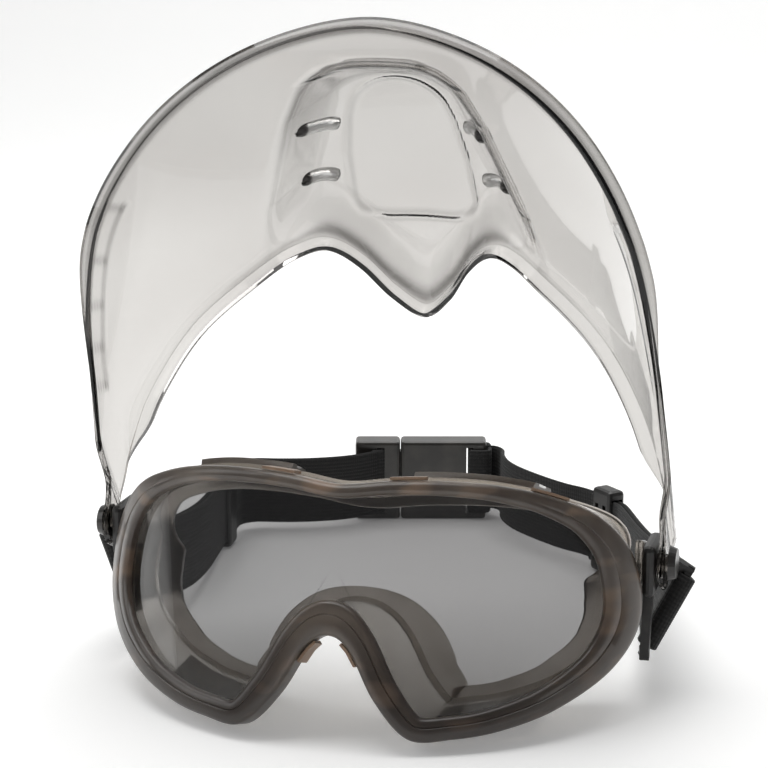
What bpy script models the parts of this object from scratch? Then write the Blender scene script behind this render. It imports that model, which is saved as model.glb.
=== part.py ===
"""Wide safety goggles with an elastic strap and a flip-up lower-face shield.

Sizes are in millimetres and are turned to metres when a mesh is made. Goggle pieces are drawn in the
goggles' own frame (x right, y back towards the face, z up, y = 0 at the middle of the rim's front face),
and an empty tips them back on to their lower edge. The strap is drawn in the room's frame.
"""

import math

import bmesh
import bpy
import numpy as np
from mathutils import Matrix

# ---- driving dimensions, mm and degrees
PITCH = 17.8  # how far the goggles lean back when they lie down
DEPTH_SHIFT = 116.54  # puts the room's origin under the middle of the whole object

FRAME_WIDTH = 170.0
FRAME_HEIGHT = 75.0
RIM_WRAP = 58.68  # degrees that the rim's plan curve turns from the middle to the temple
RIM_RADIUS = FRAME_WIDTH / 2 / math.sin(math.radians(RIM_WRAP))  # plan radius of the rim's front face
RIM_BAND = 3.0  # thickness of the front band
RIM_SKIRT = 9.0  # depth of the rim's outer skirt
RIM_SKIRT_WALL = 1.8
LENS_THICKNESS = 1.8
LENS_TUCK = 2.3  # how far the lens reaches behind the rim's band
FACE_DEPTH = 38.0  # from the rim to the face seal on the centre line
FACE_SIDE_DEPTH = 28.1  # from the rim to the face seal at the outer corner of the eye
CORNER_X = 0.44 * FRAME_WIDTH  # outer corner of the eye
CORNER_DEPTH = RIM_RADIUS - math.sqrt(RIM_RADIUS**2 - CORNER_X**2)
FACE_WRAP = CORNER_DEPTH + FACE_SIDE_DEPTH - FACE_DEPTH  # how much further back the seal is there
BODY_WALL = 2.0
BODY_TAPER = 9.5
SEAL_THICKNESS = 2.6
SEAL_OVERHANG = 0.95  # how far the seal stands out past the body
COVER_THICKNESS = 1.9
COVER_SLOPE = 0.06  # share of the body's depth over which a cover's edge rises
TOP_COVER = (4, 11, 0.10, 0.80)  # stations of the outline, and shares of the way from skirt to face
BOTTOM_COVER = (28, 35, 0.04, 0.86)
GAP = 0.3  # clearance between pieces that touch

PIVOT_SETBACK = 8.5  # from the rim's temple back to the shield's pivot
TEMPLE_DEPTH = RIM_RADIUS * (1 - math.cos(math.radians(RIM_WRAP)))
PIVOT_Y = TEMPLE_DEPTH + PIVOT_SETBACK  # shield pivot in the goggles' frame
PIVOT_Z = 16.0
PIN_RADIUS = 2.8
PIN_CLEARANCE = 0.3
BRACKET_PLATE = 2.4
LUG_PLATE = 4.2
LUG_X = FRAME_WIDTH / 2 - 0.1  # middle of the strap lug's plate
LUG_CLEARANCE = 0.8

SHIELD_RAISE = 127.7  # degrees from lowered to raised
SHIELD_WALL = 2.0
EAR_JOGGLE = 2.5  # how far the ears step in towards the goggles
EAR_X = LUG_X + LUG_PLATE / 2 + LUG_CLEARANCE + SHIELD_WALL / 2  # middle of the shield's ear
SHIELD_HALF_WIDTH = EAR_X + EAR_JOGGLE
SHIELD_AHEAD = 26.0  # how far the lowered shield stands ahead of the rim's front
SHIELD_DEPTH = PIVOT_Y + SHIELD_AHEAD
SHIELD_SQUARENESS = 1.93  # exponent of the plan curve, 2 is an ellipse
CAP_THICKNESS = 2.2
SHIELD_LIP = 5.0  # flange along the edge that meets the goggles
CHIN_LIP = 3.4
BUMP_DEPTH = 16.0
BUMP_TOP = -119.4
VENT_LENGTH = 12.0
VENT_HEIGHT = 4.5

WEB_WIDTH = 25.0
WEB_THICKNESS = 1.4
PLY_GAP = 0.6  # between the two plies of the doubled strap
WEB_LIFT = 2.5  # height of the strap's lower edge over the floor
LUG_BAR = 1.15  # half the thickness of the bar that the webbing loops round
LUG_ARM = 1.4  # half the thickness of the lug's arms
BAR_OVERHANG = 3.2  # how far the bar stands out past the web's edges
SLIDER_HEIGHT = WEB_WIDTH + 5.6
SLIDER_LENGTH = 11.0
SLIDER_THICKNESS = 6.8
BUCKLE_LENGTH = 50.0
BUCKLE_HEIGHT = WEB_WIDTH + 5.5
BUCKLE_THICKNESS = 10.6
BUCKLE_SLOT = 2.6  # width of the slots that the web passes through
BUCKLE_YAW = 14.6
BUCKLE_X = -29.5
BUCKLE_Y = 230.5
PLUG_LENGTH = 17.0
PLUG_SLOT = 9.6  # from the buckle's end to the slot that holds the web
TONGUE_LENGTH = 20.0
TONGUE_THICKNESS = 4.0
TONGUE_CLEARANCE = 0.4
BUTTON_LENGTH = 10.0
BUTTON_HEIGHT = 14.0
BUTTON_PROUD = 1.6
BUTTON_TRAVEL = 2.0

RING_STEPS = 3  # stations between two outline points

# Half outline of the rim from the top centre round to the nose centre:
# x as a share of half the width, z as a share of the height, and the width of the band there in mm.
RIM_OUTLINE = (
    (0.000, 0.419, 4.2), (0.175, 0.443, 4.1), (0.360, 0.459, 4.4), (0.536, 0.459, 4.9),
    (0.704, 0.435, 6.0), (0.860, 0.372, 8.2), (0.968, 0.225, 9.6), (1.000, -0.013, 9.6),
    (0.927, -0.221, 8.6), (0.771, -0.387, 7.7), (0.602, -0.483, 7.2), (0.447, -0.529, 6.9),
    (0.301, -0.541, 7.4), (0.176, -0.405, 8.2), (0.078, -0.222, 8.6), (0.000, -0.170, 10.4),
)

# Edges of the shield, lowered: angle round the plan curve in degrees, and height over the pivot in mm.
SHIELD_UPPER_EDGE = (
    (0.0, -19.4), (6.1, -28.0), (11.5, -42.5), (16.7, -51.5), (22.7, -53.4), (29.0, -52.4),
    (36.5, -47.4), (48.8, -39.0), (59.5, -28.4), (65.5, -21.8), (70.5, -14.4), (74.7, -8.0),
    (78.0, -3.0), (83.0, 2.0), (86.0, 5.2), (88.7, 6.8), (92.0, 6.2), (94.5, 0.6),
)
SHIELD_LOWER_EDGE = (
    (0.0, -137.9), (18.0, -134.1), (34.5, -126.2), (49.5, -114.0), (63.0, -96.2), (72.0, -69.9),
    (78.0, -41.8), (82.5, -23.0), (85.5, -12.5), (88.7, -7.6), (92.0, -6.4), (94.5, -2.0),
)
BUMP_HALF_WIDTH = (
    (-119.4, 9.0), (-112.0, 23.0), (-95.4, 31.5), (-77.0, 38.0), (-59.0, 43.0), (-20.0, 50.0),
)

# Strap routes in plan, from the lug to the buckle: x, y and the height of the web's middle over its
# resting height.
STRAP_RIGHT_FRONT = (
    (89.0, 65.0, 10.5), (85.0, 82.0, 7.5), (78.5, 108.0, 4.5), (69.0, 140.0, 1.2), (60.0, 166.0, 0.2),
    (56.0, 173.5, 0.0), (48.0, 182.0, 0.0), (46.0, 184.0, 0.0),
)
STRAP_RIGHT_REAR = (
    (45.7, 184.3, 0.0), (40.0, 189.0, 0.0), (33.0, 193.5, 0.0), (23.0, 201.5, 0.0), (13.0, 211.0, 0.0),
    (7.0, 219.0, 0.0), (3.4, 227.0, 0.0), (1.6, 234.0, 0.2), (-1.6, 237.2, 0.4),
)
STRAP_LEFT_FRONT = (
    (-89.0, 65.0, 10.5), (-85.5, 82.0, 7.5), (-83.5, 104.0, 4.0), (-84.5, 130.0, 1.5), (-88.5, 158.0, 0.3),
    (-90.2, 168.0, 0.0), (-91.3, 181.0, 0.0), (-91.6, 184.0, 0.0),
)
STRAP_LEFT_REAR = (
    (-91.65, 184.5, 0.0), (-91.7, 190.5, 0.0), (-90.0, 194.8, 0.0), (-85.5, 198.2, 0.0), (-77.0, 200.0, 0.0),
    (-67.0, 203.0, 0.0), (-57.0, 208.0, 0.0), (-50.0, 213.5, 0.0),
)
SLIDER_PLACE = 5.5  # spans along the front route from the lug to the slider's middle
WEB_STEPS = 4  # stations between two points of a strap route
BAR_PLACE = (4.1, 6.46, -17.37)  # middle of the lug's bar from the pivot: outboard of the plate, back, up
LUG_LEAN = (0.42, 0.33, 0.845)  # direction of the web's width at the lug


# ---- scene and materials

def clear_scene():
    for obj in list(bpy.data.objects):
        bpy.data.objects.remove(obj, do_unlink=True)


def new_collection(name, hidden=False):
    collection = bpy.data.collections.new(name)
    bpy.context.scene.collection.children.link(collection)
    collection.hide_render = hidden
    return collection


def new_material(name, color, roughness, metallic=0.0):
    material = bpy.data.materials.new(name)
    material.use_nodes = True
    shader = material.node_tree.nodes["Principled BSDF"]
    shader.inputs["Base Color"].default_value = (*color, 1.0)
    shader.inputs["Roughness"].default_value = roughness
    shader.inputs["Metallic"].default_value = metallic
    return material


def new_empty(name, parent=None, location=(0, 0, 0), turn_x=0.0):
    """An empty at a place in mm, turned about X in degrees."""
    empty = bpy.data.objects.new(name, None)
    parts.objects.link(empty)
    empty.parent = parent
    empty.location = [0.001 * value for value in location]
    empty.rotation_euler.x = math.radians(turn_x)
    return empty


def object_from_bmesh(name, mesh_data, look, parent=None, collection=None):
    """Links the bmesh, drawn in mm, as an object in metres with outward faces."""
    bmesh.ops.remove_doubles(mesh_data, verts=mesh_data.verts, dist=0.001)
    bmesh.ops.recalc_face_normals(mesh_data, faces=mesh_data.faces)
    mesh_data.transform(Matrix.Scale(0.001, 4))
    mesh = bpy.data.meshes.new(name)
    mesh_data.to_mesh(mesh)
    mesh_data.free()
    mesh.shade_smooth()
    mesh.set_sharp_from_angle(angle=math.radians(40))
    obj = bpy.data.objects.new(name, mesh)
    (collection or parts).objects.link(obj)
    obj.parent = parent
    if look:
        mesh.materials.append(look)
    return obj


# ---- curves worked out from the outline points

def smooth_curve(points, steps, closed=False):
    """Catmull-Rom curve through the points, with the given number of steps in each span."""
    points = np.array(points, float)
    count = len(points)
    if closed:
        padded = np.vstack([points[-1], points, points[:2]])
        spans = count
    else:
        padded = np.vstack([2 * points[0] - points[1], points, 2 * points[-1] - points[-2]])
        spans = count - 1
    share = np.arange(steps) / steps
    curve = []
    for span in range(spans):
        a, b, c, d = padded[span:span + 4]
        for t in share:
            curve.append(0.5 * (2 * b + (c - a) * t + (2 * a - 5 * b + 4 * c - d) * t**2
                                + (3 * b - a - 3 * c + d) * t**3))
    if not closed:
        curve.append(points[-1])
    return np.array(curve)


def smooth_step(value):
    value = np.clip(value, 0.0, 1.0)
    return value * value * (3 - 2 * value)


def mirrored_outline():
    half = [(x * FRAME_WIDTH / 2, z * FRAME_HEIGHT, band) for x, z, band in RIM_OUTLINE]
    other = [(-x, z, band) for x, z, band in reversed(half[1:-1])]
    return smooth_curve(half + other, RING_STEPS, closed=True)


def outline_normals(loop):
    """Outward normals in the x-z plane of a loop that runs clockwise seen from the front."""
    along = np.roll(loop[:, :2], -1, axis=0) - np.roll(loop[:, :2], 1, axis=0)
    along /= np.linalg.norm(along, axis=1)[:, None]
    return np.stack([-along[:, 1], along[:, 0]], axis=-1)


def rim_points(inset, depth):
    """Points an inset in from the rim's outline and a depth behind its front face."""
    flat = outline[:, :2] - normals * np.reshape(inset, (-1, 1))
    x = np.clip(flat[:, 0], -0.97 * RIM_RADIUS, 0.97 * RIM_RADIUS)
    lean = 0.6 * np.arcsin(x / RIM_RADIUS)
    front = RIM_RADIUS - np.sqrt(RIM_RADIUS**2 - x**2)
    return np.stack([x - depth * np.sin(lean), front + depth * np.cos(lean), flat[:, 1]], axis=-1)


def face_points(inset, behind):
    """Points an inset in from the rim's outline and a distance behind the front of the face seal."""
    flat = outline[:, :2] - normals * np.reshape(inset, (-1, 1))
    back = FACE_DEPTH + FACE_WRAP * (flat[:, 0] / CORNER_X)**2
    return np.stack([flat[:, 0], back + behind, flat[:, 1]], axis=-1)


def loft(name, rings, look, parent=None, closed=False, collection=None):
    """A solid through rings of equal count; an open one is capped at both ends."""
    rings = np.asarray(rings, float)
    count, sides = rings.shape[:2]
    mesh_data = bmesh.new()
    verts = [[mesh_data.verts.new(point) for point in ring] for ring in rings]
    for i in range(count if closed else count - 1):
        here, there = verts[i], verts[(i + 1) % count]
        for k in range(sides):
            after = (k + 1) % sides
            mesh_data.faces.new((here[k], here[after], there[after], there[k]))
    if not closed:
        mesh_data.faces.new(verts[0])
        mesh_data.faces.new(reversed(verts[-1]))
    return object_from_bmesh(name, mesh_data, look, parent, collection)


def box_mesh(size, center=(0, 0, 0)):
    mesh_data = bmesh.new()
    bmesh.ops.create_cube(mesh_data, size=1.0)
    mesh_data.transform(Matrix.Translation(center) @ Matrix.Diagonal((*size, 1.0)))
    return mesh_data


def cylinder_mesh(radius, start, end, center=(0.0, 0.0), end_radius=None):
    """A cylinder or cone along X between two places, about a centre in y and z."""
    mesh_data = bmesh.new()
    bmesh.ops.create_cone(mesh_data, cap_ends=True, segments=28, radius1=radius,
                          radius2=end_radius or radius, depth=abs(end - start))
    turn = math.radians(math.copysign(90, end - start))
    mesh_data.transform(Matrix.Rotation(turn, 4, "Y"))
    mesh_data.transform(Matrix.Translation(((start + end) / 2, *center)))
    return mesh_data


def cutter(name, mesh_data, parent=None):
    obj = object_from_bmesh(name, mesh_data, None, parent, cutters)
    obj.hide_render = True
    obj.display_type = "WIRE"
    return obj


def boolean(obj, tool, operation="DIFFERENCE"):
    modifier = obj.modifiers.new(tool.name, "BOOLEAN")
    modifier.operation = operation
    modifier.object = tool
    modifier.solver = "EXACT"


def bevel(obj, width, segments=2):
    modifier = obj.modifiers.new("edges", "BEVEL")
    modifier.width = 0.001 * width
    modifier.segments = segments
    modifier.limit_method = "ANGLE"
    modifier.angle_limit = math.radians(35)


# ---- the goggles

def make_front_rim():
    band = outline[:, 2]
    section = (
        (0.0 * band, 2.2), (0.0 * band + 0.9, 0.6), (0.0 * band + 2.1, 0.0), (band - 1.9, 0.0),
        (band - 0.5, 0.8), (band, 1.9), (band, RIM_BAND), (0.0 * band + RIM_SKIRT_WALL, RIM_BAND),
        (0.0 * band + RIM_SKIRT_WALL, RIM_SKIRT), (0.0 * band, RIM_SKIRT),
    )
    rings = np.stack([rim_points(inset, depth) for inset, depth in section], axis=1)
    loft("front_rim", rings, looks["rim"], goggles, closed=True)


def make_lens():
    """A cylindrical sheet cut to the outline that the rim's groove holds."""
    front = RIM_BAND + GAP
    radius = RIM_RADIUS - front
    half_angle = math.asin(0.99 * (FRAME_WIDTH / 2) / RIM_RADIUS)
    angles = np.linspace(-half_angle, half_angle, 41)
    reach = FRAME_HEIGHT
    rings = []
    for angle in angles:
        outer = (radius * math.sin(angle), RIM_RADIUS - radius * math.cos(angle))
        inner_radius = radius - LENS_THICKNESS
        inner = (inner_radius * math.sin(angle), RIM_RADIUS - inner_radius * math.cos(angle))
        rings.append([(*outer, -reach), (*outer, reach), (*inner, reach), (*inner, -reach)])
    lens = loft("lens", rings, looks["lens"], goggles)
    edge = outline[:, :2] - normals * (outline[:, 2] - LENS_TUCK)[:, None]
    near = np.stack([edge[:, 0], 0 * edge[:, 0] - 20.0, edge[:, 1]], axis=-1)
    far = near + np.array([0.0, 120.0, 0.0])
    outline_block = loft("lens_outline", [near, far], None, goggles, collection=cutters)
    outline_block.hide_render = True
    outline_block.display_type = "WIRE"
    boolean(lens, outline_block, "INTERSECT")


def body_insets():
    """How far the body's outside is inset from the rim's outline: behind the skirt and at the face."""
    top = smooth_step((normals[:, 1] - 0.25) / 0.6)
    shoulder = RIM_SKIRT_WALL + GAP + (-1.3 - RIM_SKIRT_WALL - GAP) * top
    face = BODY_TAPER + (0.6 - BODY_TAPER) * top
    return shoulder, face


def make_frame_body():
    shoulder, face = body_insets()
    tucked = 0 * shoulder + RIM_SKIRT_WALL + GAP
    start = RIM_BAND + GAP + LENS_THICKNESS + 0.9
    section = (
        rim_points(tucked, start), rim_points(tucked, RIM_SKIRT + GAP), rim_points(shoulder, RIM_SKIRT + 2.4),
        face_points(face, 0.0), face_points(face + BODY_WALL, 0.0),
        rim_points(shoulder + BODY_WALL, RIM_SKIRT + 2.4), rim_points(tucked + 0.9 * BODY_WALL, start),
    )
    loft("frame_body", np.stack(section, axis=1), looks["body"], goggles, closed=True)


def make_face_seal():
    _, face = body_insets()
    sideways = np.abs(normals[:, 0])**2
    overhang = 3.0 + 6.0 * sideways
    section = (
        face_points(face - SEAL_OVERHANG, GAP), face_points(face - SEAL_OVERHANG, GAP + SEAL_THICKNESS),
        face_points(face + BODY_WALL + overhang, GAP + SEAL_THICKNESS + 1.2),
        face_points(face + BODY_WALL + overhang, GAP + 1.2), face_points(face + BODY_WALL, GAP),
    )
    loft("face_seal", np.stack(section, axis=1), looks["seal"], goggles, closed=True)


def body_surface(along, lift, stations):
    """Points a lift off the body's outside, a share of the way from the skirt to the face."""
    shoulder, face = body_insets()
    near = rim_points(shoulder - lift, RIM_SKIRT + 2.4)
    far = face_points(face - lift, 0.0)
    return (near + (far - near) * along)[stations]


def height_over_floor():
    """Height of the goggles' origin when the lowest point of the bottom covers touches the floor."""
    angle = math.radians(PITCH)
    first, last, start, end = BOTTOM_COVER
    stations = np.arange(first, last + 1)
    edges = np.vstack([body_surface(along, GAP + COVER_THICKNESS, stations)
                       for along in (start + COVER_SLOPE, end - COVER_SLOPE)])
    return -np.min(edges[:, 2] * math.cos(angle) - edges[:, 1] * math.sin(angle))


def make_vent_covers():
    """Curved cover plates over the vents in the body, each between two stations of the outline."""
    for place, (first, last, start, end) in (("top", TOP_COVER), ("bottom", BOTTOM_COVER)):
        for side in ("right", "left"):
            stations = np.arange(first, last + 1)
            if side == "left":
                stations = len(outline) - stations[::-1]
            raised = GAP + COVER_THICKNESS
            section = [
                body_surface(start, GAP, stations), body_surface(start + COVER_SLOPE, raised, stations),
                body_surface(end - COVER_SLOPE, raised, stations), body_surface(end, GAP, stations),
            ]
            loft(f"{place}_vent_cover_{side}", np.stack(section, axis=1), looks["cover"], goggles)


def make_lens_clip(name, station):
    """A tab of the soft body that hooks over the rim's outside, drawn across one station of the outline."""
    stations = np.arange(station - 1, station + 2) % len(outline)
    near, far = 2.4, RIM_SKIRT - GAP
    section = [rim_points(-GAP, near), rim_points(-GAP - 0.8, near), rim_points(-GAP - 1.2, far),
               rim_points(-GAP, far)]
    loft(name, np.stack([points[stations] for points in section], axis=1), looks["clip"], goggles)


def pin_end():
    return EAR_X + SHIELD_WALL / 2 + GAP + 0.1


def make_side_brackets():
    """Outriggers on the temples: a plate on the body, and the pin that carries lug and shield."""
    inner = LUG_X - LUG_PLATE / 2 - GAP
    for side, sign in (("right", 1), ("left", -1)):
        plate = box_mesh((BRACKET_PLATE, 11.0, 13.0),
                         (sign * (inner - BRACKET_PLATE / 2), PIVOT_Y + 2.0, PIVOT_Z - 0.2))
        bracket = object_from_bmesh(f"side_bracket_{side}", plate, looks["bracket"], goggles)
        bevel(bracket, 0.7)
        shaft = cylinder_mesh(PIN_RADIUS, sign * (inner - BRACKET_PLATE / 2), sign * pin_end(),
                              (PIVOT_Y, PIVOT_Z))
        boolean(bracket, cutter(f"pin_shaft_{side}", shaft, goggles), "UNION")


def make_pivot_caps():
    """Screw caps that hold the shield's ears on their pins."""
    for side, sign in (("right", 1), ("left", -1)):
        face = pin_end() + GAP
        disc = cylinder_mesh(5.4, sign * face, sign * (face + CAP_THICKNESS), (PIVOT_Y, PIVOT_Z), 4.6)
        object_from_bmesh(f"pivot_cap_{side}", disc, looks["metal"], goggles)


# ---- the shield

def edge_height(table, angle):
    """Height of an edge at an angle round the plan, a smooth curve through the table's points."""
    curve = smooth_curve([(-table[1][0], table[1][1])] + list(table), 6)
    return np.interp(np.abs(angle), curve[:, 0], curve[:, 1])


def plan_point(angle):
    """Plan of the shield at an angle in degrees: x, distance ahead of the pivot, and the outward normal."""
    power = 2 / SHIELD_SQUARENESS
    sine, cosine = np.sin(np.radians(angle)), np.cos(np.radians(angle))
    x = SHIELD_HALF_WIDTH * np.sign(sine) * np.abs(sine)**power
    ahead = SHIELD_DEPTH * np.sign(cosine) * np.abs(cosine)**power - 1.8
    normal = np.stack([sine / SHIELD_HALF_WIDTH, cosine / SHIELD_DEPTH], axis=-1)
    return x, ahead, normal / np.linalg.norm(normal, axis=-1)[..., None]


def shield_offset(angle, x, height, upper):
    """How far the shell stands out from the plain plan curve: the nose bump, and the joggle at the ears."""
    table = np.array(BUMP_HALF_WIDTH)
    half_width = np.interp(height, table[:, 0], table[:, 1])
    rise = smooth_step((height - BUMP_TOP) / 17.0)
    side = smooth_step((half_width - np.abs(x)) / 17.0)
    brow = 0.24 + 0.76 * smooth_step((upper - height) / 26.0)
    joggle = smooth_step((np.abs(angle) - 81.0) / 4.0) * (SHIELD_HALF_WIDTH - EAR_X)
    return BUMP_DEPTH * rise * side * brow - joggle


def shield_points(angle, height, offset):
    x, ahead, normal = plan_point(angle)
    return np.stack([x + normal[..., 0] * offset, -(ahead + normal[..., 1] * offset), height], axis=-1)


def make_shield():
    columns, rows = 61, 11
    share = np.linspace(-1, 1, columns)
    angle = 94.5 * np.sign(share) * np.abs(share)**1.18
    upper = edge_height(SHIELD_UPPER_EDGE, angle)
    lower = edge_height(SHIELD_LOWER_EDGE, angle)
    fade = 1 - smooth_step((np.abs(angle) - 66.0) / 10.0)
    grid = []
    chin = shield_offset(angle, plan_point(angle)[0], lower, upper)
    grid.append(shield_points(angle, lower - 0.7, chin + 0.2 + CHIN_LIP * fade))
    for row in range(rows):
        height = lower + (upper - lower) * row / (rows - 1)
        offset = shield_offset(angle, plan_point(angle)[0], height, upper)
        grid.append(shield_points(angle, height, offset))
    grid.append(shield_points(angle, upper + 0.7, offset - 0.2 - SHIELD_LIP * fade))
    grid = np.array(grid)
    mesh_data = bmesh.new()
    verts = [[mesh_data.verts.new(point) for point in line] for line in grid]
    for low_row, high_row in zip(verts, verts[1:]):
        for k in range(columns - 1):
            mesh_data.faces.new((low_row[k], low_row[k + 1], high_row[k + 1], high_row[k]))
    shield = object_from_bmesh("face_shield", mesh_data, looks["shield"], shield_hinge)
    solid = shield.modifiers.new("wall", "SOLIDIFY")
    solid.thickness = 0.001 * SHIELD_WALL
    solid.offset = 0.0
    for sign in (1, -1):
        for x, height in ((25.0, -91.5), (29.5, -70.5)):
            make_shield_vent(shield, sign * x, height)
        bore = cylinder_mesh(PIN_RADIUS + PIN_CLEARANCE, sign * (EAR_X - 10), sign * (EAR_X + 10))
        boolean(shield, cutter(f"ear_hole_{'right' if sign > 0 else 'left'}", bore, shield_hinge))


def make_shield_vent(shield, x, height):
    """A slot through the sloping side of the nose bump."""
    angle = math.degrees(math.asin(abs(x) / SHIELD_HALF_WIDTH))
    upper = edge_height(SHIELD_UPPER_EDGE, np.array([angle]))
    offset = shield_offset(np.array([angle]), np.array([abs(x)]), np.array([height]), upper)
    place = shield_points(np.array([math.copysign(angle, x)]), np.array([height]), offset)[0]
    slot = box_mesh((VENT_LENGTH, 16.0, VENT_HEIGHT))
    slot.transform(Matrix.Translation(place) @ Matrix.Rotation(math.radians(math.copysign(52, x)), 4, "Z"))
    side = "right" if x > 0 else "left"
    tool = cutter(f"vent_{side}_{abs(height):.0f}", slot, shield_hinge)
    boolean(shield, tool)


# ---- the strap

def rest_height():
    return WEB_LIFT + WEB_WIDTH / 2


def fitted_route(route, sign):
    """The front route moved so that it starts on the lug's bar and still ends where it did."""
    fitted = np.array(route, float)
    out, back, rise = BAR_PLACE
    y, z = room_pivot()
    start = np.array([sign * (LUG_X + out), y + back + DEPTH_SHIFT, z + rise - rest_height()])
    fade = 1 - smooth_step(np.arange(len(route)) / (SLIDER_PLACE - 1.5))
    return fitted + (start - fitted[0]) * fade[:, None]


def ended_route(route, along, out, rise):
    """The rear route with one more point, at a place along and out of the buckle's middle."""
    turn = math.radians(BUCKLE_YAW)
    x = BUCKLE_X + along * math.cos(turn) - out * math.sin(turn)
    y = BUCKLE_Y + along * math.sin(turn) + out * math.cos(turn)
    return list(route) + [(x, y, rise)]


def web_frames(route, lean_ends):
    """Centre points of the web, and its width, thickness and length directions, along a route."""
    points = smooth_curve(route, WEB_STEPS)
    points[:, 2] += rest_height()
    points[:, 1] -= DEPTH_SHIFT
    along = np.gradient(points, axis=0)
    along /= np.linalg.norm(along, axis=1)[:, None]
    upright = np.array([0.0, 0.0, 1.0])
    share = smooth_step(np.linspace(0, 1, len(points)) / 0.55)[:, None]
    width = lean_ends * (1 - share) + upright * share
    width -= along * np.sum(width * along, axis=1)[:, None]
    width /= np.linalg.norm(width, axis=1)[:, None]
    return points, width, np.cross(along, width), along


def web_rings(points, width, thick, half_thickness):
    up = width * WEB_WIDTH / 2
    out = thick * half_thickness
    return np.stack([points - up - out, points + up - out, points + up + out, points - up + out], axis=1)


def lug_lean(sign):
    lean = np.array(LUG_LEAN)
    return lean / np.linalg.norm(lean) * np.array([sign, 1.0, 1.0])


def make_front_webbing(name, route, sign):
    """One length of webbing looped round the lug's bar, so that it runs back to the slider twice."""
    points, width, thick, along = web_frames(route, lug_lean(sign))
    apart = (WEB_THICKNESS + PLY_GAP) / 2
    wide = smooth_step(1 - np.arange(len(points)) / 5.0)[:, None] * 1.5
    outer = points + thick * (apart + wide)
    inner = points - thick * (apart + wide)
    loop_radius = apart + 1.5
    turn = np.radians(np.linspace(90, 270, 9)[1:-1])
    normal = np.array([math.sin(a) * thick[0] + math.cos(a) * along[0] for a in turn])
    bend = points[0] + loop_radius * normal
    track = np.vstack([outer[::-1], bend, inner])
    tilt = np.vstack([width[::-1], np.tile(width[0], (len(turn), 1)), width])
    side = np.vstack([thick[::-1], normal, -thick])
    loft(name, web_rings(track, tilt, side, WEB_THICKNESS / 2), looks["webbing"], strap)


def make_rear_webbing(name, route):
    """The single length from the slider to the buckle, which carries on from the doubled part's outer ply."""
    points, width, thick, _ = web_frames(route, np.array([0.0, 0.0, 1.0]))
    drift = smooth_step(1 - np.arange(len(points)) / 10.0)[:, None]
    points = points + thick * drift * (WEB_THICKNESS + PLY_GAP) / 2
    loft(name, web_rings(points, width, thick, WEB_THICKNESS / 2), looks["webbing"], strap)


def room_pivot():
    """Height and depth of the pivot in the room's frame."""
    angle = math.radians(PITCH)
    y = PIVOT_Y * math.cos(angle) + PIVOT_Z * math.sin(angle) - DEPTH_SHIFT
    z = -PIVOT_Y * math.sin(angle) + PIVOT_Z * math.cos(angle) + floor_drop
    return y, z


def make_strap_lug(side, sign, route):
    """A plate that turns on the pin, with an arm out to the bar that the webbing loops round."""
    y, z = room_pivot()
    points, width, thick, along = web_frames(route, lug_lean(sign))
    plate = box_mesh((LUG_PLATE, 18.0, 16.0), (sign * LUG_X, y + 2.0, z - 1.5))
    lug = object_from_bmesh(f"strap_lug_{side}", plate, looks["black"], strap)
    bevel(lug, 1.6)
    reach = WEB_WIDTH / 2 + BAR_OVERHANG
    bar_ends = [points[0] - width[0] * reach, points[0] + width[0] * reach]
    bar = []
    for end in bar_ends:
        bar.append([end + thick[0] * u * LUG_BAR + along[0] * v * LUG_BAR
                    for u, v in ((-1, -1), (1, -1), (1, 1), (-1, 1))])
    boolean(lug, tool_loft(f"lug_bar_{side}", bar), "UNION")
    upper, lower = bar_ends[1] - width[0] * 1.5, bar_ends[0] + width[0] * 1.5
    upper_knee = upper - thick[0] * sign * 4.9 + width[0] * 0.4
    lower_knee = lower - along[0] * 6.0 - width[0] * 0.4
    arms = {
        "upper": (np.array([sign * LUG_X, y + 9.3, z - 3.3]), upper_knee, upper),
        "lower": (np.array([sign * LUG_X, y - 4.0, z - 7.0]), lower_knee, lower),
    }
    for label, stops in arms.items():
        for leg, (start, end) in enumerate(zip(stops, stops[1:])):
            boolean(lug, tool_loft(f"lug_arm_{label}_{side}_{leg}", arm_rings(start, end)), "UNION")
    bore = cylinder_mesh(PIN_RADIUS + PIN_CLEARANCE, sign * (LUG_X - 8), sign * (LUG_X + 8), (y, z))
    boolean(lug, cutter(f"lug_hole_{side}", bore, strap))


def arm_rings(start, end):
    """Two square rings of a straight arm, run on past its ends by most of half its thickness."""
    direction = (end - start) / np.linalg.norm(end - start)
    across = np.cross(direction, (1.0, 0.0, 0.0) if abs(direction[0]) < 0.9 else (0.0, 0.0, 1.0))
    across /= np.linalg.norm(across)
    over = np.cross(direction, across)
    run_on = direction * 0.8 * LUG_ARM
    return [[place + (across * u + over * v) * LUG_ARM for u, v in ((-1, -1), (1, -1), (1, 1), (-1, 1))]
            for place in (start - run_on, end + run_on)]


def tool_loft(name, rings):
    tool = loft(name, rings, None, strap, collection=cutters)
    tool.hide_render = True
    tool.display_type = "WIRE"
    return tool


def place_along(obj, place, yaw):
    """Stands an object drawn about its own centre at a place in the room, turned about Z."""
    obj.location = [0.001 * value for value in place]
    obj.rotation_euler.z = math.radians(yaw)


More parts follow.
